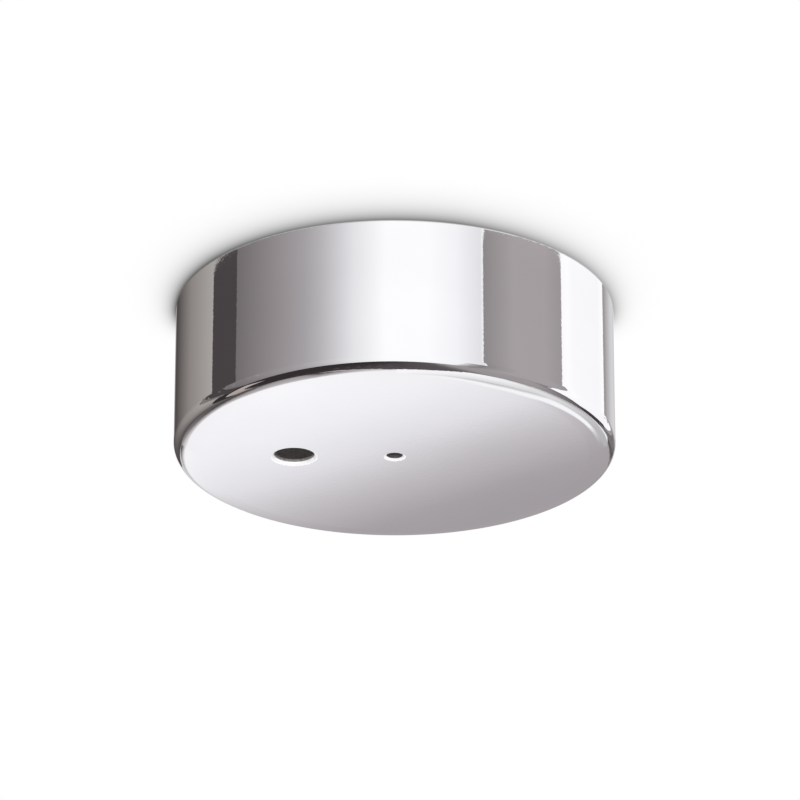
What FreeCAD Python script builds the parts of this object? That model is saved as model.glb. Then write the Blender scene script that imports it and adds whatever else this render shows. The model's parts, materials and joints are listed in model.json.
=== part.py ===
"""Electrical ceiling rose: a drawn steel canopy that clips over a cross-shaped ceiling bracket.

Millimetres. The origin is the centre of the ceiling plane, +Z points up into the ceiling, and everything hangs
below z = 0. The flex comes in through the larger hole, on the -X side, and the suspension wire through the hole
in the middle.
"""

import FreeCAD
import Part
import math
import os

V = FreeCAD.Vector

# Canopy
canopy_diameter = 110.0
canopy_height = 39.0
canopy_sheet = 1.5
canopy_edge_radius = 2.4
canopy_roll_radius = 19.0
canopy_roll_slope_deg = 15.0
canopy_rim_radius = 0.4
flex_hole_diameter = 10.0
flex_hole_offset = 25.0
wire_hole_diameter = 3.8
hole_rim_radius = 0.9

# Bracket
bracket_sheet = 2.0
bracket_bend_radius = 0.8
bracket_corner_radius = 5.0
arm_width = 24.0
flange_depth = 18.0
flange_corner_radius = 3.0
clip_room = 3.5
slot_inset = 18.0
slot_width = 5.2
slot_length = 14.0
emboss_radius = 8.0
emboss_depth = 3.2
emboss_slope_run = 1.8
block_arm_width = 18.0
block_arm_margin = 4.5

# Spring clips and their rivets
clip_sheet = 0.5
clip_width = 10.0
clip_clearance = 0.25
clip_slope_deg = 25.0
clip_bulge_radius = 3.0
clip_root_radius = 1.5
clip_top_gap = 3.3
clip_flat_length = 5.5
clip_tip_lift = 0.6
rivet_radius = 1.2
rivet_head_radius = 2.1
rivet_head_height = 0.75
rivet_spacing = 5.6

# Screw threads and clearances
thread_gap = 0.05
pass_gap = 0.2
ceiling_gap = 0.3
m3_radius = 1.5
m3_head_radius = 2.75
m3_head_height = 2.0
m3_nut_flats = 5.5
m3_nut_height = 2.4
m4_radius = 2.0
m4_head_radius = 3.75
m4_head_height = 2.6
thread_past_nut = 0.8
screw_slot_width = 0.8
screw_slot_depth = 0.9

# Hanger for the suspension wire
hanger_thread_radius = 4.0
hanger_flange_radius = 6.5
hanger_flange_height = 1.6
hanger_body_radius = 5.0
hanger_body_length = 8.4
hanger_nose_length = 3.8
hanger_nose_radius = 2.4
hanger_bore_radius = 1.1
hanger_bore_length = 11.0
hanger_seat_radius = 2.6
hanger_nut_flats = 12.0
hanger_nut_height = 2.0
hanger_chamfer = 0.4
lock_washer_sheet = 0.5
hanger_washer_radius = 6.6
washer_teeth = 12

# Cord anchorage
cord_radius = 3.0
clamp_gap = 1.6
clamp_length = 10.0
clamp_width = 23.0
clamp_drop = 9.5
pad_base = 2.0
saddle_ear = 2.6
saddle_wall = 2.2
saddle_screw_spacing = 16.4
tab_margin = 1.5

# Terminal block
block_x = 26.0
block_pitch = 11.0
block_poles = 3
block_width = 19.0
block_height = 8.5
block_end_wall = 5.0
block_corner_radius = 1.2
tower_radius = 3.3
tower_height = 4.0
tower_offset = 4.6
tower_rib = 2.4
tube_radius = 2.9
tube_bore_radius = 1.95
tube_length = 15.0
tube_drop = 4.2
tube_gap = 0.05
terminal_head_radius = 1.95
terminal_head_height = 2.0
terminal_head_drop = 3.0
terminal_head_chamfer = 0.3
notch_width = 1.2
notch_depth = 1.6
funnel_depth = 1.0
funnel_flare = 0.6

# Earth terminal
earth_y = -18.5
earth_washer_radius = 3.9
clamp_plate_side = 10.0
clamp_plate_sheet = 1.0
clamp_plate_lip = 0.9

# Worked out from the sizes above
canopy_radius = canopy_diameter / 2
inner_radius = canopy_radius - canopy_sheet
hole_radius = flex_hole_diameter / 2
flange_y = inner_radius - clip_room
slot_y = flange_y - slot_inset
emboss_floor = -emboss_depth - bracket_sheet
cord_x = -flex_hole_offset
pad_back = cord_x - cord_radius - pad_base
tab_x = pad_back - bracket_sheet
clamp_bottom = -clamp_drop - clamp_length
clamp_middle = -clamp_drop - clamp_length / 2
saddle_face = cord_x + clamp_gap / 2
saddle_top = saddle_face + saddle_ear
block_top = -bracket_sheet
block_bottom = block_top - block_height
block_length = (block_poles - 1) * block_pitch + 2 * block_end_wall
tube_z = block_top - tube_drop
pole_places = [(i - (block_poles - 1) / 2) * block_pitch for i in range(block_poles)]
pole_gaps = [(a + b) / 2 for a, b in zip(pole_places, pole_places[1:])]


def offset_path(path, distance):
    """The open path moved to its left by distance, with mitred corners."""
    moved = []
    for i, (u, v) in enumerate(path):
        normals = []
        for a, b in ((i - 1, i), (i, i + 1)):
            if a >= 0 and b < len(path):
                du = path[b][0] - path[a][0]
                dv = path[b][1] - path[a][1]
                length = math.hypot(du, dv)
                normals.append((-dv / length, du / length))
        nu = sum(n[0] for n in normals)
        nv = sum(n[1] for n in normals)
        scale = distance * len(normals) / (nu * nu + nv * nv)
        moved.append((u + nu * scale, v + nv * scale))
    return moved


def strip_outline(path, sheet, bends):
    """Points and corner radii of a sheet bent along path, lying on the path's left.

    bends holds the inside radius of each bend, in the order of the path's inner points.
    """
    other = offset_path(path, sheet)
    near = [0.0] * len(path)
    far = [0.0] * len(path)
    for i in range(1, len(path) - 1):
        ax = path[i][0] - path[i - 1][0]
        ay = path[i][1] - path[i - 1][1]
        bx = path[i + 1][0] - path[i][0]
        by = path[i + 1][1] - path[i][1]
        turns_left = ax * by - ay * bx > 0
        near[i] = bends[i - 1] + (sheet if turns_left else 0.0)
        far[i] = bends[i - 1] + (0.0 if turns_left else sheet)
    return path + other[::-1], near + far[::-1]


def rounded_face(points, radii, place):
    """Flat face inside the closed outline, each corner rounded; place turns (u, v) into a 3-D point."""
    count = len(points)
    corners = []
    for i in range(count):
        here = place(*points[i])
        back = place(*points[i - 1]) - here
        ahead = place(*points[(i + 1) % count]) - here
        if radii[i] <= 0:
            corners.append((here, None, here))
            continue
        back.normalize()
        ahead.normalize()
        half = back.getAngle(ahead) / 2
        reach = radii[i] / math.tan(half)
        middle = back + ahead
        middle.normalize()
        depth = radii[i] / math.sin(half) - radii[i]
        corners.append((here + back * reach, here + middle * depth, here + ahead * reach))
    edges = []
    for i in range(count):
        start, middle, end = corners[i]
        if middle is not None:
            edges.append(Part.Arc(start, middle, end).toShape())
        following = corners[(i + 1) % count][0]
        if (following - end).Length > 1e-6:
            edges.append(Part.LineSegment(end, following).toShape())
    return Part.Face(Part.Wire(edges))


def in_yz(x):
    return lambda u, v: V(x, u, v)


def in_xz(y):
    return lambda u, v: V(u, y, v)


def in_xy(z):
    return lambda u, v: V(u, v, z)


def turned(points, radii=None):
    """Solid of revolution about Z from an outline of (radius, height) points."""
    face = rounded_face(points, radii or [0.0] * len(points), in_xz(0))
    return face.revolve(V(0, 0, 0), V(0, 0, 1), 360)


def cylinder(radius, start, direction, length):
    return Part.makeCylinder(radius, length, start, direction)


def box(low, high):
    return Part.makeBox(high[0] - low[0], high[1] - low[1], high[2] - low[2], V(*low))


def plate(width, length, corner, bottom, top, centre=(0.0, 0.0)):
    """Flat plate with rounded corners, width along X and length along Y."""
    u = width / 2
    v = length / 2
    points = [(centre[0] + a * u, centre[1] + b * v) for a, b in ((-1, -1), (1, -1), (1, 1), (-1, 1))]
    face = rounded_face(points, [corner] * 4, in_xy(bottom))
    return face.extrude(V(0, 0, top - bottom))


def round_edges(shape, radius, wanted):
    """Rounds the edges for which wanted(edge) is true."""
    edges = [edge for edge in shape.Edges if wanted(edge)]
    return shape.makeFillet(radius, edges)


def along(edge, direction):
    """Whether a straight edge runs along direction."""
    if not isinstance(edge.Curve, Part.Line):
        return False
    return abs(abs(edge.Curve.Direction.dot(direction)) - 1) < 1e-6


def moved(shape, x=0.0, y=0.0, z=0.0):
    copy = shape.copy()
    copy.translate(V(x, y, z))
    return copy


def faced(shape, direction):
    """Turns a piece that points along +Z so that it points along direction."""
    copy = shape.copy()
    turn = FreeCAD.Rotation(V(0, 0, 1), direction)
    copy.Placement = FreeCAD.Placement(V(0, 0, 0), turn).multiply(copy.Placement)
    return copy


def screw(radius, length, head_radius, head_height, chamfer=0.0):
    """Slotted screw with a pan head, or a chamfered one: its seat is at z = 0 and the shank below."""
    rounding = [head_height * 0.45]
    corner = [(head_radius, head_height)]
    if chamfer > 0:
        rounding = [0, 0]
        corner = [(head_radius, head_height - chamfer), (head_radius - chamfer, head_height)]
    body = turned(
        [
            (0, -length),
            (radius * 0.8, -length),
            (radius, -length + radius * 0.3),
            (radius, 0),
            (head_radius, 0),
            *corner,
            (0, head_height),
        ],
        [0, 0, 0, 0, 0, *rounding, 0],
    )
    half = screw_slot_width / 2
    low = (-head_radius, -half, head_height - screw_slot_depth)
    return body.cut(box(low, (head_radius, half, head_height + 1)))


def hex_nut(flats, height, bore):
    """Hexagon nut on z = 0 with both faces chamfered."""
    across = flats / math.sqrt(3)
    points = [(across * math.cos(math.radians(a)), across * math.sin(math.radians(a))) for a in range(0, 360, 60)]
    body = rounded_face(points, [0.0] * 6, in_xy(0)).extrude(V(0, 0, height))
    chamfer = (across - flats / 2) * 0.6
    cone = turned(
        [
            (0, 0),
            (flats / 2, 0),
            (across, chamfer),
            (across, height - chamfer),
            (flats / 2, height),
            (0, height),
        ]
    )
    return body.common(cone).cut(cylinder(bore, V(0, 0, -1), V(0, 0, 1), height + 2))


def lock_washer(bore, radius):
    """Toothed lock washer, its lower face on z = 0."""
    ring = cylinder(radius, V(0, 0, 0), V(0, 0, 1), lock_washer_sheet)
    ring = ring.cut(cylinder(bore, V(0, 0, -1), V(0, 0, 1), lock_washer_sheet + 2))
    depth = (radius - bore) * 0.45
    half = math.pi * radius / washer_teeth * 0.35
    gap = box((radius - depth, -half, -1), (radius + 1, half, lock_washer_sheet + 1))
    for i in range(washer_teeth):
        turn = gap.copy()
        turn.rotate(V(0, 0, 0), V(0, 0, 1), i * 360 / washer_teeth)
        ring = ring.cut(turn)
    return ring


def canopy():
    """Drawn cup, open at the ceiling; its flat face rolls up gently before the tight corner under the wall."""
    slope = math.radians(canopy_roll_slope_deg)
    inner_edge = max(canopy_edge_radius - canopy_sheet, 0.3)
    inner_roll = max(canopy_roll_radius - canopy_sheet, inner_edge)
    run = (inner_edge + canopy_sheet) * math.tan((math.pi / 2 - slope) / 2)
    run += (inner_roll + canopy_sheet) * math.tan(slope / 2) + 0.05
    path = [
        (0, -canopy_height),
        (canopy_radius - run * math.cos(slope), -canopy_height),
        (canopy_radius, run * math.sin(slope) - canopy_height),
        (canopy_radius, 0),
    ]
    points, radii = strip_outline(path, canopy_sheet, [inner_roll, inner_edge])
    rim = min(canopy_rim_radius, canopy_sheet * 0.4)
    radii[3:5] = [rim, rim]
    cup = turned(points, radii)
    for x, radius in ((cord_x, hole_radius), (0.0, wire_hole_diameter / 2)):
        cup = cup.cut(cylinder(radius, V(x, 0, -canopy_height - 1), V(0, 0, 1), canopy_sheet + 2))
    rim_radius = min(hole_rim_radius, canopy_sheet * 0.6)

    def at_a_hole(edge):
        if not isinstance(edge.Curve, Part.Circle):
            return False
        on_face = abs(edge.Curve.Center.z + canopy_height) < 1e-6
        return on_face and edge.Curve.Radius < hole_radius + 1e-6

    return round_edges(cup, rim_radius, at_a_hole)


def emboss():
    """Dished middle of the bracket, deep enough to take the hanger's nut below the ceiling."""
    lip = emboss_radius + emboss_slope_run
    angle = math.atan2(emboss_depth, emboss_slope_run)
    flat = (bracket_bend_radius + bracket_sheet) * math.tan(angle / 2) + 0.1
    path = [
        (lip + flat, 0),
        (lip, 0),
        (emboss_radius, -emboss_depth),
        (hanger_thread_radius + pass_gap, -emboss_depth),
    ]
    points, radii = strip_outline(path, bracket_sheet, [bracket_bend_radius] * 2)
    return turned(points, radii), lip + flat


def bracket():
    """Pressed steel cross: two arms for the ceiling screws, one for the terminals, one for the cord anchorage."""
    half = arm_width / 2
    path = [(flange_y, -flange_depth), (flange_y, 0), (-flange_y, 0), (-flange_y, -flange_depth)]
    points, radii = strip_outline(path, bracket_sheet, [bracket_bend_radius] * 2)
    body = rounded_face(points, radii, in_yz(-half)).extrude(V(arm_width, 0, 0))

    path = [(0, 0), (tab_x, 0), (tab_x, clamp_bottom - tab_margin)]
    points, radii = strip_outline(path, bracket_sheet, [bracket_bend_radius])
    body = body.fuse(rounded_face(points, radii, in_xz(-half)).extrude(V(0, arm_width, 0)))

    arm_end = block_x + block_width / 2 + block_arm_margin
    arm = plate(arm_end, block_arm_width, bracket_corner_radius, -bracket_sheet, 0, (arm_end / 2, 0))
    body = body.fuse(arm).removeSplitter()

    def inner_corner(edge):
        if not along(edge, V(0, 0, 1)) or abs(edge.Length - bracket_sheet) > 1e-6:
            return False
        middle = edge.CenterOfMass
        on_arm = abs(abs(middle.x) - half) < 1e-6
        return on_arm and min(abs(abs(middle.y) - half), abs(abs(middle.y) - block_arm_width / 2)) < 1e-6

    def lower_corner(edge):
        middle = edge.CenterOfMass
        on_flange = along(edge, V(0, 1, 0)) and abs(middle.z + flange_depth) < 1e-6
        on_tab = along(edge, V(1, 0, 0)) and abs(middle.z - clamp_bottom + tab_margin) < 1e-6
        return (on_flange or on_tab) and abs(edge.Length - bracket_sheet) < 1e-6

    body = round_edges(body, bracket_corner_radius, inner_corner)
    body = round_edges(body, flange_corner_radius, lower_corner)

    dish, dish_radius = emboss()
    body = body.cut(cylinder(dish_radius, V(0, 0, -bracket_sheet - 1), V(0, 0, 1), bracket_sheet + 2))
    body = body.fuse(dish).removeSplitter()

    deep = bracket_sheet + 2
    for side in (-1, 1):
        slot = plate(slot_width, slot_length, slot_width / 2 - 1e-4, -deep, 1, (0, side * slot_y))
        body = body.cut(slot)
        for x in (-rivet_spacing / 2, rivet_spacing / 2):
            start = V(x, side * (flange_y - deep), rivet_z())
            body = body.cut(cylinder(rivet_radius + thread_gap, start, V(0, side, 0), deep + 2))
        start = V(tab_x - 1, side * saddle_screw_spacing / 2, clamp_middle)
        body = body.cut(cylinder(m3_radius + pass_gap, start, V(1, 0, 0), deep + 1))
    for y in pole_gaps:
        body = body.cut(cylinder(m3_radius + thread_gap, V(block_x, y, -deep), V(0, 0, 1), deep + 1))
    return body.cut(cylinder(m4_radius + thread_gap, V(0, earth_y, -deep), V(0, 0, 1), deep + 1))


def rivet_z():
    return -clip_top_gap - clip_flat_length / 2


def spring_clip(side):
    """Leaf riveted to a flange, bulging out to grip the canopy's wall."""
    slope = math.radians(clip_slope_deg)
    wall = math.sqrt(inner_radius**2 - (clip_width / 2) ** 2)
    outer_bulge = clip_bulge_radius + clip_sheet
    tip = wall - clip_clearance + outer_bulge * (1 / math.cos(slope) - 1)
    tip -= clip_sheet / math.cos(slope)
    bend_z = -clip_top_gap - clip_flat_length
    tip_z = bend_z - (tip - flange_y) / math.tan(slope)
    end_y = flange_y + clip_tip_lift
    path = [
        (flange_y, -clip_top_gap),
        (flange_y, bend_z),
        (tip, tip_z),
        (end_y, tip_z - (tip - end_y) / math.tan(slope)),
    ]
    points, radii = strip_outline(path, clip_sheet, [clip_root_radius, clip_bulge_radius])
    leaf = rounded_face(points, radii, in_yz(-clip_width / 2)).extrude(V(clip_width, 0, 0))
    for x in (-rivet_spacing / 2, rivet_spacing / 2):
        start = V(x, flange_y - 1, rivet_z())
        leaf = leaf.cut(cylinder(rivet_radius + thread_gap, start, V(0, 1, 0), clip_sheet + 2))
    if side < 0:
        leaf = leaf.mirror(V(0, 0, 0), V(0, 1, 0))
    return leaf


def clip_rivets():
    """Two rivets a clip, each with a domed head on both sides."""
    grip = bracket_sheet + clip_sheet
    dome = min(rivet_head_height, rivet_head_radius) * 0.9
    rivet = turned(
        [
            (0, -grip - rivet_head_height),
            (rivet_head_radius, -grip - rivet_head_height),
            (rivet_head_radius, -grip),
            (rivet_radius, -grip),
            (rivet_radius, 0),
            (rivet_head_radius, 0),
            (rivet_head_radius, rivet_head_height),
            (0, rivet_head_height),
        ],
        [0, dome, 0, 0, 0, 0, dome, 0],
    )
    rivets = []
    for side in (-1, 1):
        facing = faced(rivet, V(0, side, 0))
        for x in (-rivet_spacing / 2, rivet_spacing / 2):
            rivets.append(moved(facing, x, side * (flange_y + clip_sheet), rivet_z()))
    return rivets


def hanger_bush():
    """Turned bush that hangs in the dished middle; the wire's end stop seats on the step in its bore."""
    top = -ceiling_gap
    body_top = emboss_floor - hanger_flange_height
    nose_top = body_top - hanger_body_length
    bottom = nose_top - hanger_nose_length
    seat = bottom + hanger_bore_length
    return turned(
        [
            (hanger_bore_radius, bottom),
            (hanger_nose_radius, bottom),
            (hanger_body_radius, nose_top),
            (hanger_body_radius, body_top),
            (hanger_flange_radius, body_top),
            (hanger_flange_radius, emboss_floor),
            (hanger_thread_radius, emboss_floor),
            (hanger_thread_radius, top - hanger_chamfer),
            (hanger_thread_radius - hanger_chamfer, top),
            (hanger_seat_radius, top),
            (hanger_seat_radius, seat),
            (hanger_bore_radius, seat),
        ],
        [0, 0, 0, 0, 0.4, 0.4, 0, 0, 0, 0, 0, 0],
    )


def hanger_washer():
    return moved(lock_washer(hanger_thread_radius + pass_gap, hanger_washer_radius), z=-emboss_depth)


def hanger_nut():
    nut = hex_nut(hanger_nut_flats, hanger_nut_height, hanger_thread_radius + thread_gap)
    return moved(nut, z=-emboss_depth + lock_washer_sheet)


def cord_pad():
    """Insulating pad between the bracket's tab and the flex, grooved to the flex."""
    front = cord_x - clamp_gap / 2
    half = clamp_width / 2
    body = box((pad_back, -half, clamp_bottom), (front, half, -clamp_drop))
    body = round_edges(body, 1.0, lambda edge: along(edge, V(1, 0, 0)))
    body = body.cut(cylinder(cord_radius, V(cord_x, 0, clamp_bottom - 1), V(0, 0, 1), clamp_length + 2))
    return cut_saddle_holes(body)


def cord_saddle():
    """Arched bar that clamps the flex against the pad."""
    half = clamp_width / 2
    reach = cord_radius + saddle_wall
    body = box((saddle_face, -half, clamp_bottom), (saddle_top, half, -clamp_drop))
    body = round_edges(body, 1.0, lambda edge: along(edge, V(1, 0, 0)))
    arch = cylinder(reach, V(cord_x, 0, clamp_bottom), V(0, 0, 1), clamp_length)
    arch = arch.cut(box((cord_x - reach - 1, -reach - 1, clamp_bottom - 1), (saddle_face, reach + 1, 0)))
    body = body.fuse(arch).removeSplitter()
    body = body.cut(cylinder(cord_radius, V(cord_x, 0, clamp_bottom - 1), V(0, 0, 1), clamp_length + 2))
    return cut_saddle_holes(body)


def cut_saddle_holes(body):
    for side in (-1, 1):
        start = V(tab_x - 1, side * saddle_screw_spacing / 2, clamp_middle)
        body = body.cut(cylinder(m3_radius + pass_gap, start, V(1, 0, 0), saddle_top - tab_x + 2))
    return body


def saddle_screws():
    grip = saddle_top - tab_x + m3_nut_height + thread_past_nut
    one = faced(screw(m3_radius, grip, m3_head_radius, m3_head_height), V(1, 0, 0))
    return [moved(one, saddle_top, side * saddle_screw_spacing / 2, clamp_middle) for side in (-1, 1)]


def saddle_nuts():
    one = faced(hex_nut(m3_nut_flats, m3_nut_height, m3_radius + thread_gap), V(-1, 0, 0))
    return [moved(one, tab_x, side * saddle_screw_spacing / 2, clamp_middle) for side in (-1, 1)]


def terminal_housing():
    """Moulded block: a bore for each brass tube, two screw towers a pole and notches between the poles."""
    body = plate(block_width, block_length, block_corner_radius, block_bottom, block_top, (block_x, 0))
    for y in pole_places:
        rib_low = (block_x - tower_offset, y - tower_rib / 2, block_bottom - tower_height)
        body = body.fuse(box(rib_low, (block_x + tower_offset, y + tower_rib / 2, block_bottom)))
        for side in (-1, 1):
            start = V(block_x + side * tower_offset, y, block_bottom - tower_height)
            body = body.fuse(cylinder(tower_radius, start, V(0, 0, 1), tower_height + 1))
    body = body.removeSplitter()
    half = block_width / 2
    bore = tube_radius + tube_gap
    for y in pole_places:
        body = body.cut(cylinder(bore, V(block_x - half - 1, y, tube_z), V(1, 0, 0), block_width + 2))
        for side in (-1, 1):
            mouth = V(block_x + side * (half - funnel_depth), y, tube_z)
            funnel = Part.makeCone(bore, bore + funnel_flare, funnel_depth, mouth, V(side, 0, 0))
            body = body.cut(funnel)
            start = V(block_x + side * tower_offset, y, block_bottom - tower_height - 1)
            body = body.cut(cylinder(terminal_head_radius + pass_gap, start, V(0, 0, 1), tube_z - start.z))
    for y in pole_gaps:
        start = V(block_x, y, block_bottom - 1)
        body = body.cut(cylinder(m3_radius + pass_gap, start, V(0, 0, 1), block_height + 2))
        for side in (-1, 1):
            edge = block_x + side * half
            low = (edge - notch_depth, y - notch_width / 2, block_bottom - 1)
            body = body.cut(box(low, (edge + notch_depth, y + notch_width / 2, block_top + 1)))
    return body


def terminal_tube(y):
    """Brass tube that joins two wires, with a threaded hole for each clamping screw."""
    start = V(block_x - tube_length / 2, y, tube_z)
    tube = cylinder(tube_radius, start, V(1, 0, 0), tube_length)
    tube = tube.cut(cylinder(tube_bore_radius, start - V(1, 0, 0), V(1, 0, 0), tube_length + 2))
    for side in (-1, 1):
        low = V(block_x + side * tower_offset, y, tube_z - tube_radius - 1)
        tube = tube.cut(cylinder(m3_radius + thread_gap, low, V(0, 0, 1), tube_radius + 1))
    return tube


def terminal_screws():
    """Clamping screws, backed out until their tips are level with the tubes' bores."""
    seat = block_bottom - tower_height + terminal_head_drop
    length = tube_z - tube_bore_radius - tube_gap - seat
    one = screw(m3_radius, length, terminal_head_radius, terminal_head_height, terminal_head_chamfer)
    one = faced(one, V(0, 0, -1))
    places = [(side * tower_offset, y) for y in pole_places for side in (-1, 1)]
    return [moved(one, block_x + x, y, seat) for x, y in places]


def block_screws():
    length = block_height + bracket_sheet - ceiling_gap
    one = faced(screw(m3_radius, length, m3_head_radius, m3_head_height), V(0, 0, -1))
    return [moved(one, block_x, y, block_bottom) for y in pole_gaps]


def earth_lock_washer():
    washer = lock_washer(m4_radius + pass_gap, earth_washer_radius)
    return moved(washer, y=earth_y, z=-bracket_sheet - lock_washer_sheet)


def earth_clamp_plate():
    """Square plate under the screw's head, with two turned-up lips that keep the wire in."""
    top = -bracket_sheet - lock_washer_sheet
    half = clamp_plate_side / 2
    low = top - clamp_plate_sheet
    body = plate(clamp_plate_side, clamp_plate_side, 0.6, low, top, (0, earth_y))
    for side in (-1, 1):
        inner = side * (half - clamp_plate_sheet)
        outer = side * half
        lip_low = (min(inner, outer), earth_y - half + 0.6, top - 0.2)
        body = body.fuse(box(lip_low, (max(inner, outer), earth_y + half - 0.6, top + clamp_plate_lip - 0.5)))
    body = body.removeSplitter()
    return body.cut(cylinder(m4_radius + pass_gap, V(0, earth_y, low - 1), V(0, 0, 1), bracket_sheet + 3))


def earth_screw():
    stack = lock_washer_sheet + clamp_plate_sheet
    length = stack + bracket_sheet - ceiling_gap
    one = faced(screw(m4_radius, length, m4_head_radius, m4_head_height), V(0, 0, -1))
    return moved(one, y=earth_y, z=-bracket_sheet - stack)


def write(name, shapes):
    solids = []
    for shape in shapes if isinstance(shapes, list) else [shapes]:
        solids.extend(shape.Solids)
    body = solids[0] if len(solids) == 1 else Part.makeCompound(solids)
    body.exportStep(os.path.join("parts", name + ".step"))
    print(name, len(solids), "solid(s),", round(body.Volume, 1), "mm3")


def main():
    os.makedirs("parts", exist_ok=True)
    write("canopy", canopy())
    write("bracket", bracket())
    write("spring_clip_front", spring_clip(-1))
    write("spring_clip_rear", spring_clip(1))
    write("clip_rivets", clip_rivets())
    write("hanger_bush", hanger_bush())
    write("hanger_washer", hanger_washer())
    write("hanger_nut", hanger_nut())
    write("cord_pad", cord_pad())
    write("cord_saddle", cord_saddle())
    write("saddle_screws", saddle_screws())
    write("saddle_nuts", saddle_nuts())
    write("terminal_housing", terminal_housing())
    for name, y in zip(("front", "middle", "rear"), pole_places):
        write("terminal_tube_" + name, terminal_tube(y))
    write("terminal_screws", terminal_screws())
    write("block_screws", block_screws())
    write("earth_screw", earth_screw())
    write("earth_clamp_plate", earth_clamp_plate())
    write("earth_lock_washer", earth_lock_washer())


main()
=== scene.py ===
"""Looks of the ceiling rose: polished chrome under a white ceiling, in a studio of plain cards."""

import json
import math
from types import SimpleNamespace

import bpy
from mathutils import Matrix, Vector


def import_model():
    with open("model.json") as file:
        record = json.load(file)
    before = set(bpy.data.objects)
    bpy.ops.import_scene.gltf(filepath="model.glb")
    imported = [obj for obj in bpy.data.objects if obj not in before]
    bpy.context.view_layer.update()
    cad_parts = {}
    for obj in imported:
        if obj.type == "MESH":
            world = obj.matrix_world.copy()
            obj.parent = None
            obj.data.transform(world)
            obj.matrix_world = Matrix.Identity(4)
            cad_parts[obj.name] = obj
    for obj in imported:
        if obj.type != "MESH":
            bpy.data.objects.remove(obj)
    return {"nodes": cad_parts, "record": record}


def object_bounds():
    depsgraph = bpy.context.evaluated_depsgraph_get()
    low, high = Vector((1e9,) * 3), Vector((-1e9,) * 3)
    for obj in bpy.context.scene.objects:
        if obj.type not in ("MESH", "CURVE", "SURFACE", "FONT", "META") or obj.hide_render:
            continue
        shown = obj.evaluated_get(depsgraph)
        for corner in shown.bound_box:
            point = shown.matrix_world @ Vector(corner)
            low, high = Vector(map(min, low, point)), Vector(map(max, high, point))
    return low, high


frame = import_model()
cad_low, cad_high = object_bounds()
nodes = frame["nodes"]
mounts = {mount["name"]: mount for mount in frame["record"]["mounts"]}
scene = bpy.context.scene

# The canopy's sizes in millimetres, which the materials use
RIM_R = 1000 * cad_high[0]
FACE_Z = 1000 * cad_low[2]
SHEET = 1.5
BEND_R = 2.4
ROLL_R = 19.0
BEND_TURN = math.radians(75)
BEND_Z = FACE_Z + BEND_R * math.sin(BEND_TURN) + ROLL_R * (1 - math.sin(BEND_TURN))
HOLE_ROLL = 0.9
FLEX_X = 1000 * mounts["flex_hole"]["pos_m"][0]
FLEX_R = mounts["flex_hole"]["dims"]["r_mm"]
WIRE_R = mounts["wire_hole"]["dims"]["r_mm"]

# The view, in metres: a long lens that looks up at the middle of the canopy's face
FACE_MIDDLE = Vector((0, 0, cad_low[2]))
VIEW_LIFT = math.radians(23.668)
VIEW_DISTANCE = 1.32
VIEW_SHIFT = (0.001331, 0.014135)
LENS_MM, SENSOR_MM = 238.813, 36

# The studio, in metres
FLOOR_Z = -0.9
FLOOR_SIZE = 4
CEILING_GAP = 0.00006
CEILING_HALF = 1.2
TOUCHING = 0.0015
NEARBY = 0.03
EDGE_Z = -0.036
CHROME_REFLECTS = 0.845
SOFT_LIGHT = 0.68
# The dim glow of painted shade that the metal inside the canopy mirrors in place of the unlit ceiling.
PAINTED_CUP_SHADE_GLOW = (0.118, 0.092, 0.106)


# Colours


def linear(tone):
    """The linear light of an sRGB tone from 0 to 255."""
    c = tone / 255
    return c / 12.92 if c <= 0.04045 else ((c + 0.055) / 1.055) ** 2.4


def warm(tone):
    return (tone, tone - 5, tone - 4)


def cool(tone):
    return (tone, tone, tone + 2)


def mixed(a, b, share):
    """Colour a with a share of colour b."""
    return [p + (q - p) * share for p, q in zip(a, b)]


def blend(place, stops):
    """The colour at a place among a few stops of (place, colour), in order."""
    for (p0, c0), (p1, c1) in zip(stops, stops[1:]):
        if place <= p1:
            return mixed(c0, c1, max((place - p0) / (p1 - p0), 0))
    return stops[-1][1]


def graph(place, *stops):
    """The number at a place among a few stops of (place, number)."""
    return blend(place, [(p, (number,)) for p, number in stops])[0]


def ramp(*stops):
    """A colour that changes across a card through a few stops."""
    return lambda u, v: blend(u, stops)


# Shader helpers


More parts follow.
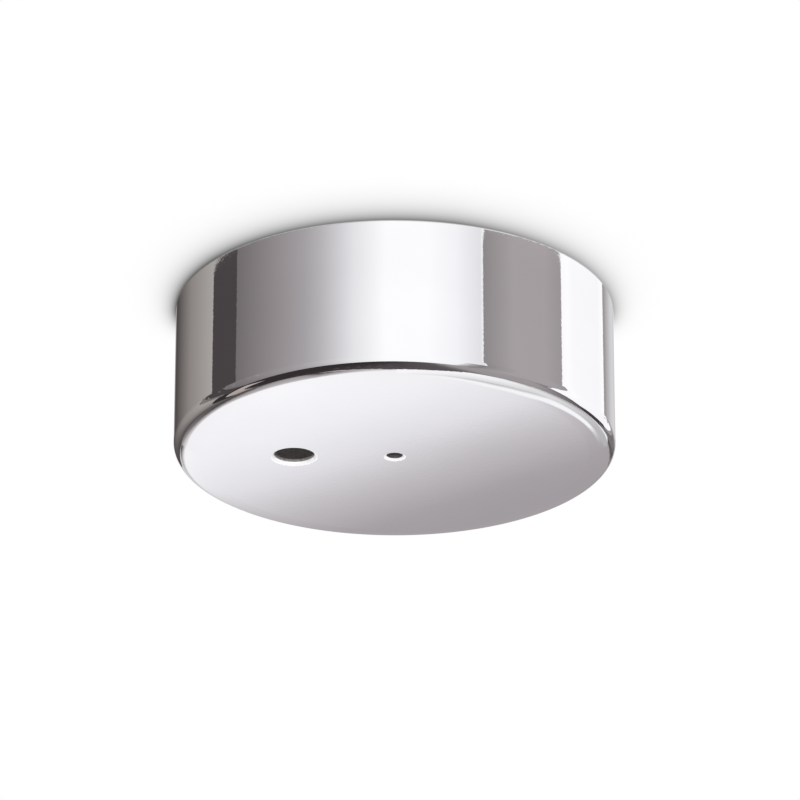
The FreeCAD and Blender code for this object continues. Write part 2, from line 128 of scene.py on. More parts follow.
class Tree:
    """Adds nodes to one material or world, each fed from the sockets or numbers that it is given."""

    def __init__(self, owner, clear=False):
        owner.use_nodes = True
        self.owner = owner
        self.tree = owner.node_tree
        if clear:
            self.tree.nodes.clear()
        else:
            self.shader = self.tree.nodes["Principled BSDF"]

    def add(self, kind, **settings):
        node = self.tree.nodes.new(kind)
        for key, value in settings.items():
            setattr(node, key, value)
        return node

    def feed(self, socket, value):
        if isinstance(value, bpy.types.NodeSocket):
            self.tree.links.new(value, socket)
        elif isinstance(value, (tuple, list)) and socket.type == "RGBA" and len(value) == 3:
            socket.default_value = (*value, 1)
        else:
            socket.default_value = value

    def math(self, operation, a, b=0.0, c=0.0, clamp=False):
        node = self.add("ShaderNodeMath", operation=operation, use_clamp=clamp)
        for socket, value in zip(node.inputs, (a, b, c)):
            self.feed(socket, value)
        return node.outputs[0]

    def plus(self, a, b):
        return self.math("ADD", a, b)

    def minus(self, a, b):
        return self.math("SUBTRACT", a, b)

    def times(self, a, b):
        return self.math("MULTIPLY", a, b)

    def larger(self, a, b):
        return self.math("MAXIMUM", a, b)

    def length(self, a, b):
        """The length of the line (a, b)."""
        return self.math("SQRT", self.plus(self.times(a, a), self.times(b, b)))

    def place(self, scale=(1, 1, 1), turn=(0, 0, 0)):
        """Object coordinates in millimetres, turned by degrees and scaled."""
        node = self.add("ShaderNodeMapping")
        self.feed(node.inputs["Vector"], self.add("ShaderNodeTexCoord").outputs["Object"])
        node.inputs["Scale"].default_value = [1000 * s for s in scale]
        node.inputs["Rotation"].default_value = [math.radians(t) for t in turn]
        return node.outputs[0]

    def axes(self):
        """The x, y and z of a point, in millimetres."""
        node = self.add("ShaderNodeSeparateXYZ")
        self.feed(node.inputs[0], self.place())
        return node.outputs

    def noise(self, vector, scale, detail=4.0, roughness=0.55, distortion=0.0):
        node = self.add("ShaderNodeTexNoise")
        self.feed(node.inputs["Vector"], vector)
        node.inputs["Scale"].default_value = scale
        node.inputs["Detail"].default_value = detail
        node.inputs["Roughness"].default_value = roughness
        node.inputs["Distortion"].default_value = distortion
        return node.outputs["Fac"]

    def cells(self, vector, scale, feature="F1"):
        node = self.add("ShaderNodeTexVoronoi", feature=feature)
        self.feed(node.inputs["Vector"], vector)
        node.inputs["Scale"].default_value = scale
        return node.outputs["Distance"]

    def span(self, value, low, high, to_low=0.0, to_high=1.0, smooth=False):
        """value from low to high, carried over to to_low to to_high and held there."""
        kind = "SMOOTHSTEP" if smooth else "LINEAR"
        node = self.add("ShaderNodeMapRange", interpolation_type=kind, clamp=True)
        self.feed(node.inputs["Value"], value)
        for key, v in (("From Min", low), ("From Max", high), ("To Min", to_low), ("To Max", to_high)):
            self.feed(node.inputs[key], v)
        return node.outputs["Result"]

    def mix(self, factor, a, b):
        """A colour between a and b."""
        node = self.add("ShaderNodeMix", data_type="RGBA")
        for socket, value in ((0, factor), (6, a), (7, b)):
            self.feed(node.inputs[socket], value)
        return node.outputs[2]

    def lean(self, factor, a, b):
        """A normal between a and b."""
        node = self.add("ShaderNodeMix", data_type="VECTOR")
        for socket, value in ((0, factor), (4, a), (5, b)):
            self.feed(node.inputs[socket], value)
        return node.outputs[1]

    def shade(self, factor, a, b):
        """A shader between a and b."""
        node = self.add("ShaderNodeMixShader")
        for socket, value in enumerate((factor, a, b)):
            self.feed(node.inputs[socket], value)
        return node.outputs[0]

    def glow(self, colour):
        node = self.add("ShaderNodeEmission")
        self.feed(node.inputs["Color"], colour)
        return node.outputs[0]

    def bump(self, height, depth, onto=None):
        """A bump of the given depth in millimetres over a height from 0 to 1."""
        node = self.add("ShaderNodeBump")
        node.inputs["Strength"].default_value = 1.0
        node.inputs["Distance"].default_value = depth / 1000
        self.feed(node.inputs["Height"], height)
        if onto is not None:
            self.feed(node.inputs["Normal"], onto)
        return node.outputs[0]

    def set(self, **values):
        for key, value in values.items():
            self.feed(self.shader.inputs[key.replace("_", " ")], value)

    def show(self, kind, shader):
        """Ends a cleared tree with its output."""
        self.feed(self.add(kind).inputs[0], shader)


def material(name, clear=False):
    return Tree(bpy.data.materials.new(name), clear)


def grain(t, long_axis, scale):
    """Fine parallel marks along one axis, as rolling or drawing leaves them."""
    stretch = [1.0, 1.0, 1.0]
    stretch[long_axis] = 0.035
    return t.noise(t.place(stretch), scale, detail=5, roughness=0.6)


def rings(t, centre, pitch):
    """Turned marks around a vertical axis, faintly uneven."""
    x, y = t.axes()[:2]
    r = t.length(t.minus(x, centre[0]), t.minus(y, centre[1]))
    wobble = t.times(t.noise(t.place(), 0.35, detail=2), 5)
    phase = t.plus(t.times(r, 2 * math.pi / pitch), wobble)
    return t.span(t.math("SINE", phase), -1, 1)


# Finishes


def inside_canopy(t, radius, z):
    """1 on the inner half of the canopy's sheet and 0 on the outer half, by the distance to the bend's centre
    line."""
    middle = BEND_R - SHEET / 2
    past_wall = t.larger(t.minus(radius, RIM_R - BEND_R), 0.0)
    past_floor = t.larger(t.minus(BEND_Z, z), 0.0)
    return t.span(t.length(past_wall, past_floor), middle - 0.05, middle + 0.05, 1, 0)


def hole_marks(t, distance, z, hole_r, past_bore, past_roll):
    """Where a hole, its bare punched edge and its buffed rim are. distance is that of a point to the hole's
    axis, past_bore how far out from the bore the bare metal fades out, and past_roll how far down into the
    rim's roll."""
    roll_z = FACE_Z + HOLE_ROLL
    outer = hole_r + HOLE_ROLL
    hole = t.span(distance, hole_r + past_bore[0], hole_r + past_bore[1], 1, 0)
    bare = t.times(hole, t.span(z, roll_z - past_roll[1], roll_z - past_roll[0]))
    rim = t.span(distance, outer - 0.1, outer, 1, 0)
    return hole, bare, rim


def chrome_regions(t):
    """Where the canopy's different surfaces are, each as a share from 0 to 1."""
    x, y, z = t.axes()
    radius = t.length(x, y)
    flex_distance = t.length(t.minus(x, FLEX_X), y)
    inside = inside_canopy(t, radius, z)
    _flex, flex_bare, flex_rim = hole_marks(t, flex_distance, z, FLEX_R, (0.05, 0.1), (0.05, 0.2))
    wire, wire_bare, wire_rim = hole_marks(t, radius, z, WIRE_R, (0.12, 0.22), (0.4, 0.52))
    floor_z = FACE_Z + SHEET
    return SimpleNamespace(
        inside=inside,
        floor=t.times(inside, t.span(z, floor_z + 0.1, floor_z + 3.5, 1, 0)),
        punched=t.larger(flex_bare, wire_bare),
        buffed=t.times(t.larger(flex_rim, wire_rim), t.minus(1.0, inside)),
        # Where the wire hole's bore takes painted shade.
        wire_hole=wire,
        painted_ceiling_shadow_line=t.span(z, -0.32, -0.08),
    # The top 0.3 mm of the wall, where a shadow line is painted.
    )


def chrome_marks(t):
    """The marks of polishing, drawing, punching and handling."""
    specks = t.span(t.cells(t.place(), 0.42), 0.0, 0.055, 1, 0)
    sparse = t.span(t.noise(t.place(), 0.11, detail=2), 0.56, 0.6)
    return SimpleNamespace(
        hands=t.noise(t.place((0.6, 0.6, 1.0)), 0.05, detail=3),
        fine=t.noise(t.place(), 1.6, detail=6, roughness=0.7),
        drawn=grain(t, 2, 2.4),
        scored=t.noise(t.place((1.0, 1.0, 0.12)), 6.0, detail=4, roughness=0.7),
        dust=t.times(specks, sparse),
    )


def chrome_colour(t, region, marks):
    """Faintly handled plating with sparse dust and a painted shadow line along the top edge, over nickel
    inside and bare metal in the holes, with painted shade in the wire hole's bore.
    """
    plating = t.mix(t.span(marks.hands, 0.35, 0.65), (0.835, 0.83, 0.835), (0.855, 0.85, 0.855))
    plating = t.mix(t.times(marks.dust, 0.35), plating, (0.45, 0.42, 0.43))
    # Painted shadow: a thin dark line along the top edge, where the canopy meets the ceiling.
    plating = t.mix(t.times(region.painted_ceiling_shadow_line, 0.85), plating, (0.2, 0.18, 0.17))
    nickel = t.mix(t.span(marks.drawn, 0.35, 0.65), (0.50, 0.49, 0.47), (0.60, 0.59, 0.57))
    bare = t.mix(t.span(marks.scored, 0.4, 0.62), (0.16, 0.145, 0.14), (0.46, 0.44, 0.43))
    # Painted shade: the small wire hole's bore is darkened nearly to black, as a deep hole lies in shadow.
    bare = t.mix(t.times(region.wire_hole, 0.8), bare, (0.05, 0.045, 0.045))
    colour = t.mix(region.inside, plating, nickel)
    colour = t.mix(region.buffed, colour, (0.95, 0.95, 0.955))
    return t.mix(region.punched, colour, bare)


def chrome_roughness(t, region, marks):
    """Mirror-like outside, satin inside, and duller at the holes."""
    polish = t.plus(t.span(marks.hands, 0.3, 0.7, 0.018, 0.035), t.times(marks.dust, 0.2))
    satin = t.span(marks.fine, 0.3, 0.7, 0.36, 0.5)
    rough = t.plus(t.times(region.inside, t.minus(satin, polish)), polish)
    rough = t.larger(rough, t.times(region.buffed, 0.36))
    return t.larger(rough, t.times(region.punched, 0.55))


def chrome_normal(t, region, marks):
    """Long waves and a fine peel outside, and drawing and punching marks on the rest."""
    waves = t.bump(t.noise(t.place((1.0, 1.0, 0.7)), 0.045, detail=2, roughness=0.4), 0.006)
    peel = t.bump(t.noise(t.place(), 1.5, detail=2), 0.0022, onto=waves)
    scores = t.bump(marks.scored, 0.03, onto=t.bump(marks.drawn, 0.01, onto=peel))
    return t.lean(t.larger(region.inside, region.punched), peel, scores)


def chrome_finish():
    """Polished chrome outside, satin nickel inside, buffed rims and bare punched edges at the holes."""
    t = material("chrome_plate")
    region = chrome_regions(t)
    marks = chrome_marks(t)
    unmetallic = t.larger(t.times(region.buffed, 0.7), t.times(region.floor, 0.45))
    t.set(Base_Color=chrome_colour(t, region, marks), Metallic=t.minus(1.0, unmetallic))
    t.set(Roughness=chrome_roughness(t, region, marks), Normal=chrome_normal(t, region, marks))
    return t.owner


def metal(name, dark, light, rough, long_axis=1, scale=3.0, tint=None, depth=0.004):
    """A satin metal with parallel marks, patches of tone, and sparse scuffs."""
    t = material(name)
    marks = grain(t, long_axis, scale)
    patches = t.noise(t.place(), 0.14, detail=4, roughness=0.6)
    speckle = t.noise(t.place(), 5.0, detail=3)
    scratches = t.noise(t.place((1.0, 0.25, 1.0), (0, 0, 31)), 1.1, detail=8, roughness=0.75)
    scuffs = t.span(scratches, 0.62, 0.7)
    colour = t.mix(t.span(marks, 0.35, 0.65), dark, light)
    if tint:
        colour = t.mix(t.span(patches, 0.42, 0.68, 0, 0.5), colour, tint)
    colour = t.mix(t.times(scuffs, 0.45), colour, light)
    roughness = t.span(speckle, 0.3, 0.7, rough - 0.05, rough + 0.06)
    roughness = t.plus(roughness, t.span(patches, 0.3, 0.7, -0.04, 0.05))
    roughness = t.minus(roughness, t.times(scuffs, 0.1))
    t.set(Base_Color=colour, Metallic=1.0, Roughness=roughness)
    t.set(Normal=t.bump(speckle, depth * 0.6, onto=t.bump(marks, depth)))
    return t.owner


def turned_metal(name, centre, dark, light, rough, pitch=0.16):
    """A machined metal with turned marks around one vertical axis."""
    t = material(name)
    marks = rings(t, centre, pitch)
    patches = t.noise(t.place(), 0.4, detail=4)
    speckle = t.noise(t.place(), 6.0, detail=3)
    colour = t.mix(t.span(marks, 0.1, 0.9), dark, light)
    t.set(Base_Color=colour, Metallic=1.0, Roughness=t.span(patches, 0.3, 0.7, rough - 0.06, rough + 0.08))
    t.set(Normal=t.bump(speckle, 0.003, onto=t.bump(marks, 0.006)))
    return t.owner


def plastic(name, colour, shadow, rough, scale, depth):
    """A moulded plastic with a fine spark-eroded grain and faint flow marks."""
    t = material(name)
    flow = t.noise(t.place((1.0, 0.45, 0.8)), 0.09, detail=3, distortion=0.6)
    skin = t.noise(t.place(), scale, detail=3, roughness=0.6)
    dimples = t.cells(t.place(), scale * 0.7, feature="SMOOTH_F1")
    base = t.mix(t.span(flow, 0.35, 0.65), colour, shadow)
    t.set(Base_Color=base, Roughness=t.span(skin, 0.3, 0.7, rough - 0.05, rough + 0.07), IOR=1.5)
    t.set(Normal=t.bump(dimples, depth * 0.7, onto=t.bump(skin, depth)))
    return t.owner


def zinc_plate():
    dark, light, blue = (0.50, 0.515, 0.54), (0.68, 0.69, 0.71), (0.60, 0.62, 0.70)
    return metal("zinc_plate", dark, light, 0.34, 1, 2.6, blue, 0.006)


def spring_steel():
    return metal("spring_steel", (0.36, 0.37, 0.39), (0.52, 0.525, 0.54), 0.26, 2, 4.0, (0.42, 0.40, 0.37))


def rivet_steel():
    return metal("rivet_steel", (0.56, 0.56, 0.57), (0.72, 0.72, 0.73), 0.3, 0, 3.2)


def washer_steel():
    return metal("washer_steel", (0.45, 0.455, 0.47), (0.62, 0.625, 0.64), 0.33, 0, 3.0, (0.50, 0.49, 0.46))


def screw_steel():
    return metal("screw_steel", (0.58, 0.585, 0.6), (0.74, 0.745, 0.76), 0.27, 0, 3.4, (0.66, 0.66, 0.72))


def turned_steel():
    return turned_metal("turned_steel", (0, 0), (0.60, 0.605, 0.62), (0.74, 0.745, 0.76), 0.24)


def brass():
    return metal("brass", (0.62, 0.44, 0.17), (0.80, 0.62, 0.30), 0.26, 0, 3.2, (0.60, 0.40, 0.16))


def nylon():
    return plastic("nylon", (0.78, 0.765, 0.71), (0.70, 0.685, 0.63), 0.5, 2.2, 0.012)


def block_plastic():
    return plastic("block_plastic", (0.83, 0.815, 0.775), (0.775, 0.76, 0.715), 0.38, 3.0, 0.008)


WORN_BY = {
    chrome_finish: ("canopy",),
    zinc_plate: ("bracket",),
    spring_steel: ("spring_clip_front", "spring_clip_rear"),
    rivet_steel: ("clip_rivets",),
    washer_steel: ("hanger_washer", "earth_lock_washer"),
    screw_steel: ("hanger_nut", "saddle_screws", "saddle_nuts", "terminal_screws", "block_screws"),
    turned_steel: ("hanger_bush",),
    brass: (
        "terminal_tube_front",
        "terminal_tube_middle",
        "terminal_tube_rear",
        "earth_screw",
        "earth_clamp_plate",
    ),
    nylon: ("cord_pad", "cord_saddle"),
    block_plastic: ("terminal_housing",),
}


def dress():
    """Gives every CAD node its finish."""
    for finish, names in WORN_BY.items():
        worn = finish()
        for name in names:
            for slot in nodes[name].material_slots:
                slot.material = worn


dress()


# Studio cards, which only mirrors see


def seen_by(obj, camera=False, diffuse=False, glossy=False, transmission=False, shadow=False):
    obj.visible_camera = camera
    obj.visible_diffuse = diffuse
    obj.visible_glossy = glossy
    obj.visible_transmission = transmission
    obj.visible_shadow = shadow
    obj.visible_volume_scatter = False


def card_light():
    """Plain light in the tone that a card's points carry."""
    t = material("studio_card", clear=True)
    tone = t.add("ShaderNodeAttribute", attribute_name="tone")
    t.show("ShaderNodeOutputMaterial", t.glow(tone.outputs["Color"]))
    return t.owner


CARD_LIGHT = card_light()


def card(name, columns, rows, point, tone):
    """A studio card. point and tone are functions of (across, up), each from 0 to 1, and the tone is the
    colour that the chrome shows."""
    vertices, colours = [], []
    for j in range(rows + 1):
        for i in range(columns + 1):
            u, v = i / columns, j / rows
            vertices.append(point(u, v))
            colours += [linear(c) / CHROME_REFLECTS for c in tone(u, v)] + [1]
    faces = []
    for j in range(rows):
        for i in range(columns):
            corner = j * (columns + 1) + i
            faces.append((corner, corner + 1, corner + columns + 2, corner + columns + 1))
    mesh = bpy.data.meshes.new(name)
    mesh.from_pydata(vertices, [], faces)
    mesh.attributes.new("tone", "FLOAT_COLOR", "POINT").data.foreach_set("color", colours)
    mesh.materials.append(CARD_LIGHT)
    obj = bpy.data.objects.new(name, mesh)
    scene.collection.objects.link(obj)
    seen_by(obj, glossy=True)


def level(lift, radius):
    """The height of a line of sight from the canopy's edge at that radius, where it rises by lift degrees."""
    return EDGE_Z + radius * math.tan(math.radians(lift))


def on_drum(radius, turns, foot, top=(1.0, 1.0), top_lift=None, corners=(0, 0), corner_height=0.0065):
    """Points of a card bent round the object, where a card with a smaller radius hides those behind it.
    turns are its ends as azimuths from -Y towards +X, and foot the elevations of its foot there, in degrees.
    top gives the heights of its upper corners in metres, or top_lift their elevations. corners are the widths
    of its rounded upper corners in degrees, and corner_height is their height."""
    if top_lift:
        top = [level(lift, radius) for lift in top_lift]

    def point(u, v):
        turn = turns[0] + (turns[1] - turns[0]) * u
        upper = top[0] + (top[1] - top[0]) * u
        for width, inset in ((corners[0], turn - turns[0]), (corners[1], turns[1] - turn)):
            if width and inset < width:
                upper -= corner_height * (1 - math.sqrt(1 - (1 - inset / width) ** 2))
        lower = level(foot[0] + (foot[1] - foot[0]) * u, radius)
        a = math.radians(turn)
        return (radius * math.sin(a), -radius * math.cos(a), lower + (upper - lower) * v)

    return point


def left_cards():
    """The greys and the charcoal that the canopy's left side mirrors."""
    card(
        "left_flat", 60, 2, on_drum(0.7, (-178, -99), (-54, -27)),
        ramp(
            (0, (190, 187, 188)), (0.128, (176, 172, 173)), (0.228, (68, 64, 63)),
            (0.6, (137, 132, 129)), (0.911, (167, 163, 160)), (1, (140, 135, 134)),
        ),
    )
    card(
        "left_high", 24, 2, on_drum(0.7, (-106, -58), (15, 15)),
        ramp((0, (167, 163, 160)), (1, (181, 176, 176))),
    )
    card(
        "charcoal_left", 60, 4,
        on_drum(0.695, (-106.3, -64), (-38, -24), top=(0.3116, 0.3116), corners=(15, 0)),
        ramp((0, (70, 65, 67)), (1, (71, 66, 68))),
    )
    card(
        "lip_left", 8, 2, on_drum(0.69, (-107, -101), (-33, -29), top_lift=(18, 3)),
        ramp((0, (128, 123, 120)), (1, (116, 111, 110))),
    )
    card(
        "sliver_left", 20, 2, on_drum(0.72, (-156, -92), (-60, -50), top_lift=(-46.5, -39)),
        ramp((0, (150, 140, 132)), (0.3, (170, 160, 154)), (1, (178, 170, 166))),
    )


def front_cards():
    """The wide sweep from grey to white, and the dark line at its right end."""
    card(
        "sweep", 120, 2, on_drum(0.69, (-87.5, 44.0), (-33, -46)),
        ramp(
            (0, (112, 107, 109)), (0.245, (152, 147, 149)), (0.315, (163, 160, 163)),
            (0.384, (182, 180, 182)), (0.446, (204, 203, 206)), (0.51, (227, 227, 230)),
            (0.63, (252, 252, 253)), (0.79, (252, 252, 254)), (0.9, (243, 244, 247)),
            (1, (225, 225, 229)),
        ),
    )
    card(
        "dark_end", 8, 2, on_drum(0.68, (34, 45), (-46, -46), top_lift=(-6, -4)),
        ramp((0, cool(225)), (0.4, warm(170)), (1, warm(120))),
    )


def edge_tone(u, v):
    """Dark streaks low on the card at the canopy's right edge, and pale ones above them."""
    dark = blend(u, ((0, warm(112)), (0.3, warm(120)), (0.52, warm(82)), (0.6, warm(128)), (1, warm(150))))
    pale = blend(u, ((0, warm(168)), (0.35, cool(197)), (0.6, cool(203)), (1, warm(188))))
    return blend(v, ((0.3, dark), (0.42, pale)))


def right_cards():
    """The grey, the white and the thin lines that the canopy's right side mirrors."""
    card(
        "grey_right", 80, 4,
        on_drum(
            0.685, (45.0, 93.9), (-50, -30),
            top=(0.305, 0.3085), corners=(3.5, 9.5), corner_height=0.0085,
        ),
        ramp(
            (0, (140, 135, 136)), (0.12, (150, 145, 147)), (0.35, (164, 159, 160)),
            (0.75, (164, 158, 161)), (1, (153, 148, 150)),
        ),
    )
    card(
        "white_right", 30, 2, on_drum(0.695, (93.9, 129), (-37, -36)),
        ramp((0, cool(250)), (0.14, cool(253)), (0.25, cool(249)), (1, cool(245))),
    )
    card(
        "white_end", 12, 2, on_drum(0.695, (129, 137), (-36, -10)),
        ramp((0, cool(245)), (1, cool(251))),
    )
    card(
        "lip_right", 8, 2, on_drum(0.68, (89, 95), (-26, -37), top_lift=(-20, 19)),
        ramp((0, cool(250))),
    )
    card(
        "line_right", 4, 2, on_drum(0.69, (137, 141), (-18, -20)),
        ramp((0, warm(150)), (1, warm(160))),
    )
    card("edge_right", 30, 28, on_drum(0.7, (141, 168), (-27, -27)), edge_tone)


def rear_cards():
    """The whites and greys that the canopy's rolled edge mirrors from behind."""
    card(
        "rear_low", 30, 2, on_drum(0.68, (150, 212), (-50, -50), top=(-0.3, -0.3)),
        ramp((0, cool(225)), (0.4, cool(248)), (0.62, cool(244)), (0.75, warm(100)), (1, warm(85))),
    )
    card(
        "rear_top", 16, 2, on_drum(0.66, (166, 200), (2, 2), top_lift=(20, 20)),
        ramp((0, warm(150)), (0.4, warm(160)), (0.6, cool(192)), (1, cool(194))),
    )
    card(
        "rear_left", 12, 2, on_drum(0.71, (200, 216), (-20, -20), top=(0.45, 0.45)),
        ramp((0, warm(120)), (1, warm(84))),
    )


def floor_card():
    """The dark floor of the studio, lighter towards the right."""

    def point(u, v):
        return (FLOOR_SIZE * (u - 0.5), FLOOR_SIZE * (v - 0.5), FLOOR_Z)

    def tone(u, v):
        x, y, _z = point(u, v)
        bright = graph(
            x + 0.1 * y, (-0.27, 50), (-0.1, 58), (0, 75), (0.19, 90), (0.29, 150), (0.6, 155)
        )
        if x > 0.2:
            bright = min(bright, graph(x + y, (0.9, 155), (1.2, 128), (1.5, 98), (1.65, 65)))
        return (bright, bright - 5, bright - 3)

    card("floor", 80, 40, point, tone)


left_cards()
front_cards()
right_cards()
rear_cards()
floor_card()


# The card that the canopy's face mirrors


# It stands square to the mirrored line of sight, and its places are in metres. The flat face takes up an
# ellipse on it, and the rolled edge the rings outside, which grow by the spread across and by the rise
# upwards for each radian that the metal has turned.
CARD_DISTANCE = 0.5
CARD_WIDTH = 0.42
CARD_FOOT, CARD_TOP = -0.27, 0.26
ELLIPSE_MIDDLE = 0.0053
ELLIPSE_HALF_WIDTH, ELLIPSE_HALF_HEIGHT = 0.067, 0.027
ROLL_SPREAD = 0.42
NEAR_RISE, FAR_RISE = 1.2, 0.92
MOST_TURN = 1.2
SHADE_ACROSS, SHADE_UP = 0.305, 0.952
FACE_TONES = (
    (-0.029, (246, 246, 249)), (-0.013, (238, 238, 241)), (0.0, (222, 221, 225)),
    (0.013, (190, 187, 190)), (0.026, (164, 159, 163)), (0.034, (160, 155, 158)),
)


def face_place(across, up):
    """Where on the face a place of the card is mirrored, each way from -1 to 1, and how far the metal has
    turned into its rolled edge there, in radians."""
    rise = NEAR_RISE if up < 0 else FAR_RISE

    def at(turn):
        x = across / (ELLIPSE_HALF_WIDTH + ROLL_SPREAD * turn)
        y = up / (ELLIPSE_HALF_HEIGHT + rise * turn)
        return x, y

    low, high = 0.0, MOST_TURN
    if math.hypot(*at(0.0)) <= 1:
        high = 0.0
    while high - low > 1e-4:
        turn = (low + high) / 2
        if math.hypot(*at(turn)) > 1:
            low = turn
        else:
            high = turn
    return (*at(high), high)


def near_left(x, face):
    """The soft grey and the dark line at the edge of the white, as stops of (turn, colour)."""
    start = graph(
        x, (-1, 0.195), (-0.9, 0.195), (-0.8, 0.172), (-0.65, 0.165), (-0.49, 0.157), (-0.23, 0.178),
        (0, 0.19),
    )
    last = graph(
        x, (-1, 0.235), (-0.9, 0.235), (-0.8, 0.24), (-0.7, 0.25), (-0.6, 0.243), (-0.49, 0.212),
        (0, 0.224),
    )
    dark = graph(x, (-1, 116), (-0.93, 74), (0, 64))
    return (
        (start, face), (start + 0.03, warm(187)), (last, warm(151)),
        (last + 0.018, warm(dark)), (last + 0.045, warm(dark + 20)),
    )


def far_left(x, face):
    """A thin dark line and a pale one outside it."""
    strength = graph(x, (-1, 1.0), (-0.9, 0.9), (-0.8, 0.6), (-0.65, 0.2), (-0.5, 0))
    line = ((0.215, warm(190)), (0.228, warm(90)), (0.27, warm(100)), (0.29, cool(194)))
    return ((0.2, face), *((turn, mixed(face, colour, strength)) for turn, colour in line))


def near_right(x, face):
    """A white crescent, a grey gap and a second white band before the dark edge."""
    inner = graph(
        x, (0.29, 0.07), (0.5, 0.045), (0.7, 0.055), (0.78, 0.08), (0.85, 0.1), (0.9, 0.12), (0.98, 0.16)
    )
    outer = graph(
        x, (0.29, 0.1), (0.55, 0.07), (0.7, 0.095), (0.78, 0.13), (0.85, 0.17), (0.94, 0.19), (0.98, 0.195)
    )
    gap = graph(x, (0.29, 0.13), (0.55, 0.12), (0.7, 0.14), (0.78, 0.17), (0.85, 0.205), (0.94, 0.215))
    grey = graph(
        x, (0, 246), (0.28, 223), (0.44, 196), (0.55, 186), (0.7, 190), (0.78, 197), (0.85, 211), (0.94, 196),
        (1, 178),
    )
    band = graph(
        x, (0, 248), (0.28, 251), (0.55, 248), (0.7, 237), (0.78, 225), (0.85, 221), (0.94, 204), (1, 178)
    )
    white = mixed(face, cool(244), graph(x, (0.1, 0.0), (0.3, 1.0), (0.97, 1.0), (1.0, 0.0)))
    return (
        (inner - 0.02, face), (inner, white), (outer, white), (gap, cool(grey)),
        (gap + 0.015, cool((grey + band) / 2)), (0.235, cool(band)), (0.243, cool(band)),
        (0.262, warm(196)), (0.28, warm(120)),
    )


def face_card():
    """The card behind and below whose soft shade the face mirrors."""
    across = Vector((1, 0, 0))
    up = Vector((0, math.sin(VIEW_LIFT), math.cos(VIEW_LIFT)))
    middle = FACE_MIDDLE + CARD_DISTANCE * Vector((0, math.cos(VIEW_LIFT), -math.sin(VIEW_LIFT)))

    def spot(u, v):
        return (u - 0.5) * CARD_WIDTH, CARD_FOOT + (CARD_TOP - CARD_FOOT) * v

    def point(u, v):
        right, height = spot(u, v)
        return middle + across * right + up * height

    def tone(u, v):
        right, height = spot(u, v)
        x, y, turn = face_place(right, height - ELLIPSE_MIDDLE)
        shaded = SHADE_UP * (ELLIPSE_MIDDLE + ELLIPSE_HALF_HEIGHT * y)
        face = blend(SHADE_ACROSS * ELLIPSE_HALF_WIDTH * x + shaded, FACE_TONES)
        if turn == 0 or (x > 0 and y > 0):
            return face
        if x > 0:
            return blend(turn, near_right(x, face))
        if y < 0:
            return blend(turn, near_left(x, face))
        return blend(turn, far_left(x, mixed(face, cool(243), min(turn / 0.25, 1) * x**4)))

    card("face_card", 180, 240, point, tone)


face_card()


# The ceiling, the light and the camera


def painted_contact_shade(t, x, y, radius):
    """The painted contact shade: the share of the ceiling's white glow kept around the canopy, least right in
    front of it, all of it behind. The shade fades over 2 mm at the sides and 5.7 mm in front, and is weaker
    on the right and where nothing is near."""
    ahead = t.math("DIVIDE", y, t.math("MINIMUM", t.times(radius, -1), -1.0))
    reach = t.math("MULTIPLY_ADD", t.math("POWER", t.larger(ahead, 0.0), 1.3), 3.7, 2.0)
    fall = t.math("EXPONENT", t.math("DIVIDE", t.minus(RIM_R, radius), reach), clamp=True)
    fall = t.times(fall, t.span(radius, RIM_R - 1.0, RIM_R - 0.1, 0.3, 1.0))
    occlusion = t.add("ShaderNodeAmbientOcclusion", samples=24)
    t.feed(occlusion.inputs["Distance"], NEARBY)
    t.feed(occlusion.inputs["Color"], (1, 1, 1))
    covered = t.span(radius, RIM_R + 1, RIM_R + 9, 0.62, 0.86)
    open_air = t.span(radius, RIM_R + 1, RIM_R + 9, 0.8, 0.98)
    weight = t.span(ahead, -0.36, 0.06, 0, 0.86, smooth=True)
    weight = t.times(weight, t.span(occlusion.outputs["AO"], covered, open_air, 1, 0))
    weight = t.times(weight, t.span(ahead, 0.6, 1.0, 1, 0.9))
    weight = t.times(weight, t.span(x, 15, 50, 1, 0.65))
    return t.math("SUBTRACT", 1.0, t.times(fall, weight), clamp=True)


def ceiling_white():
    """White with a painted contact shade to the eye from below, a dim glow of painted shade to the metal
    inside the canopy, and otherwise not there at all."""
    t = material("ceiling", clear=True)
    path = t.add("ShaderNodeLightPath").outputs
    backfacing = t.add("ShaderNodeNewGeometry").outputs["Backfacing"]
    x, y, _z = t.axes()
    radius = t.length(x, y)
    # Painted shade: the ceiling's white glow is darkened around the canopy by place and by ambient occlusion.
    light = painted_contact_shade(t, x, y, radius)
    tone = t.add("ShaderNodeCombineColor")
    for socket in tone.inputs[:3]:
        t.feed(socket, light)
    white = t.glow(tone.outputs[0])
    clear = t.add("ShaderNodeBsdfTransparent").outputs[0]
    # Painted shade: a dim glow that the metal inside the canopy mirrors where the ceiling over it lies in
    # shadow.
    dark = t.glow(PAINTED_CUP_SHADE_GLOW)
    over_canopy = t.math("LESS_THAN", radius, RIM_R - 0.5)
    from_afar = t.math("GREATER_THAN", path["Ray Length"], TOUCHING)
    painted_shade_rays = t.times(t.times(over_canopy, from_afar), path["Is Glossy Ray"])
    seen = t.times(path["Is Camera Ray"], t.minus(1.0, backfacing))
    t.show("ShaderNodeOutputMaterial", t.shade(seen, t.shade(painted_shade_rays, clear, dark), white))
    return t.owner


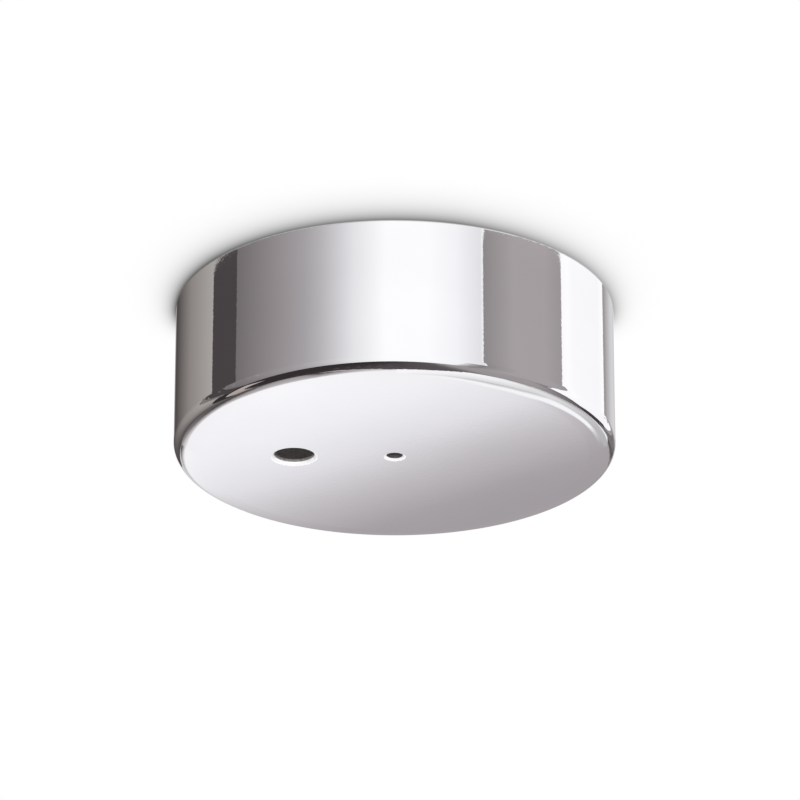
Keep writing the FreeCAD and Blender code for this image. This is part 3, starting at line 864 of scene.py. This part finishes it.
def ceiling():
    """The ceiling, a hair above the canopy's rim."""
    s, z = CEILING_HALF, CEILING_GAP
    mesh = bpy.data.meshes.new("ceiling")
    mesh.from_pydata([(-s, -s, z), (-s, s, z), (s, s, z), (s, -s, z)], [], [(0, 1, 2, 3)])
    mesh.materials.append(ceiling_white())
    obj = bpy.data.objects.new("ceiling", mesh)
    scene.collection.objects.link(obj)
    seen_by(obj, camera=True, diffuse=True, glossy=True, transmission=True, shadow=True)


def world():
    """White to the eye and to mirrors, softer as light on the object."""
    t = Tree(bpy.data.worlds.new("studio"), clear=True)
    scene.world = t.owner
    path = t.add("ShaderNodeLightPath").outputs
    seen = t.larger(t.larger(path["Is Camera Ray"], path["Is Glossy Ray"]), path["Is Transmission Ray"])

    def light(strength):
        node = t.add("ShaderNodeBackground")
        node.inputs["Color"].default_value = (1, 1, 1, 1)
        node.inputs["Strength"].default_value = strength
        return node.outputs[0]

    t.show("ShaderNodeOutputWorld", t.shade(seen, light(SOFT_LIGHT), light(1.0)))


def lamp(name, energy, towards, angle, only=None):
    """A soft distant lamp that shines along a direction, on one node alone where it is given."""
    data = bpy.data.lights.new(name, "SUN")
    data.energy = energy
    data.angle = math.radians(angle)
    obj = bpy.data.objects.new(name, data)
    obj.rotation_mode = "QUATERNION"
    obj.rotation_quaternion = Vector(towards).to_track_quat("-Z", "Y")
    obj.visible_glossy = False
    scene.collection.objects.link(obj)
    if only:
        lit = bpy.data.collections.new(name + "_lit")
        lit.objects.link(only)
        obj.light_linking.receiver_collection = lit


def camera():
    """A long lens, below the object and looking up at it."""
    forward = Vector((0, math.cos(VIEW_LIFT), math.sin(VIEW_LIFT)))
    right = Vector((1, 0, 0))
    up = right.cross(forward)
    data = bpy.data.cameras.new("camera")
    data.sensor_width = SENSOR_MM
    data.lens = LENS_MM
    data.clip_start = 0.05
    data.clip_end = 20
    obj = bpy.data.objects.new("camera", data)
    place = FACE_MIDDLE - forward * VIEW_DISTANCE + right * VIEW_SHIFT[0] + up * VIEW_SHIFT[1]
    turn = Matrix((right, up, -forward)).transposed()
    obj.matrix_world = Matrix.Translation(place) @ turn.to_4x4()
    scene.collection.objects.link(obj)
    scene.camera = obj


ceiling()
world()
lamp("overhead", 1.1, (0, 0, -1), 12)
lamp("rim_fill", 2.7, (0, 0.8, 0.6), 8, nodes["canopy"])
camera()

scene.view_settings.view_transform = "Standard"
